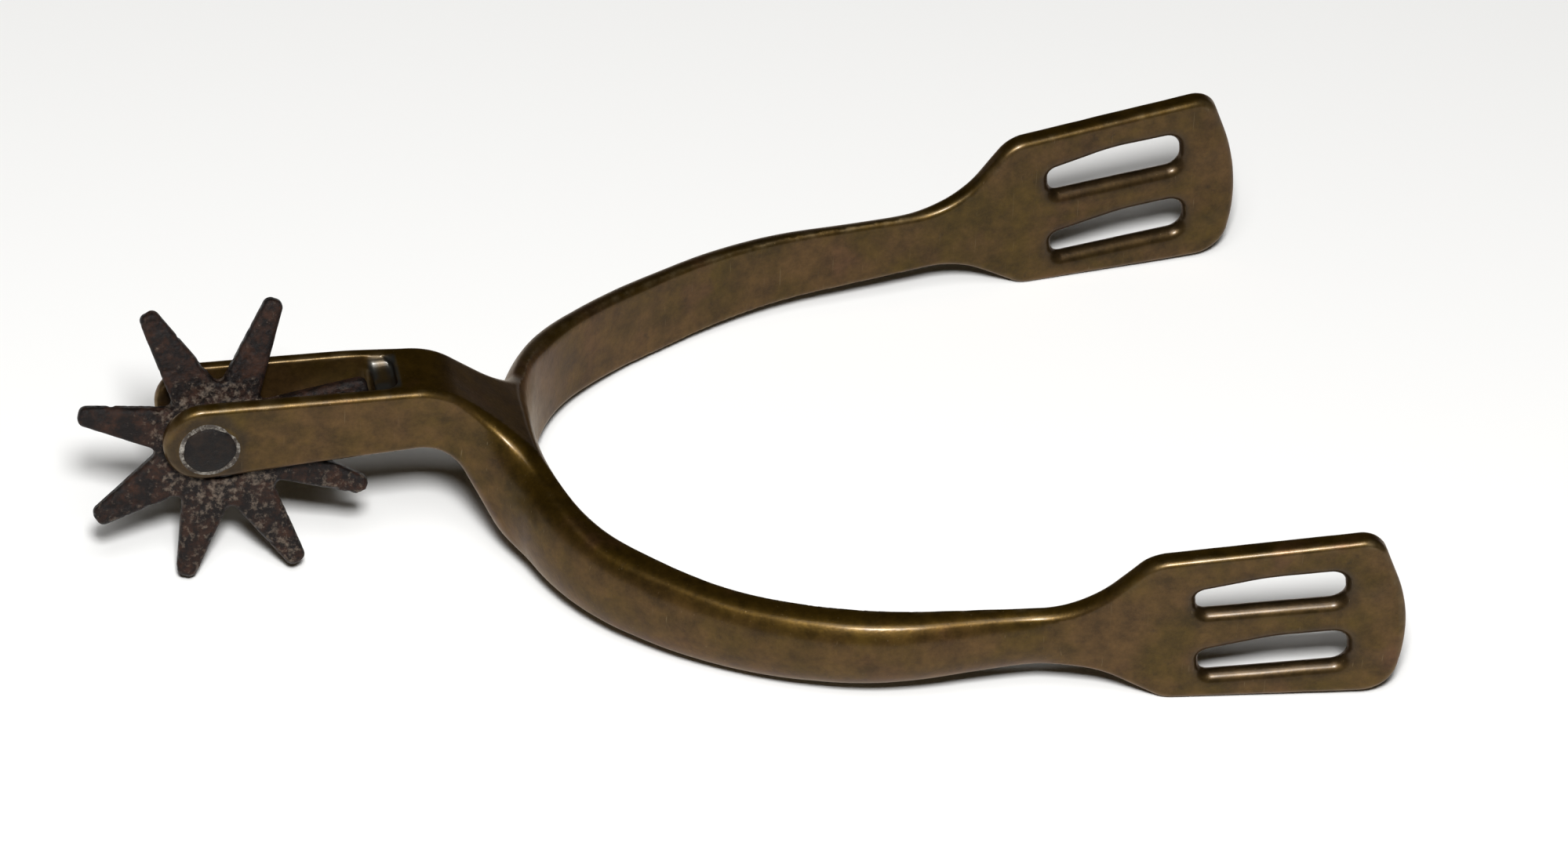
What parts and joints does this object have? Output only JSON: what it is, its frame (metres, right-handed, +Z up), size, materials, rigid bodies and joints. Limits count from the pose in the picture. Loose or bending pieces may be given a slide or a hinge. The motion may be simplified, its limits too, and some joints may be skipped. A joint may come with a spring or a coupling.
{
  "type": "boot spur",
  "caption": "Boot spur: a U-shaped brass heel band with slotted strap terminals, a raised forked neck and a loose pointed rowel turning on a riveted pin.",
  "frame": {"origin": "middle of the heel seat, on the inside face of the band where the back of the boot bears", "axes": "+X forward to the toe, +Y to the wearer's left, +Z up; the casting stands 5.4 degrees nose-up, as it rests on a shelf on its terminals and rowel"},
  "size_m": [0.1502, 0.0916, 0.0332],
  "materials": {
    "aged_brass": "aged cast brass, worn satin with brighter edges",
    "rowel_iron": "pitted dark brown rusted iron",
    "pin_iron": "peened dark iron"
  },
  "bodies": {
    "spur": {"spur_body": "aged_brass", "rowel_pin": "pin_iron"},
    "rowel": {"rowel": "rowel_iron"}
  },
  "joints": [
    {"name": "rowel_spin", "type": "hinge", "parent": "spur", "child": "rowel", "pos_m": [-0.03787, -0.0009, 0.00636], "axis": [0.0291, 0.9511, -0.3076], "continuous": true}
  ]
}
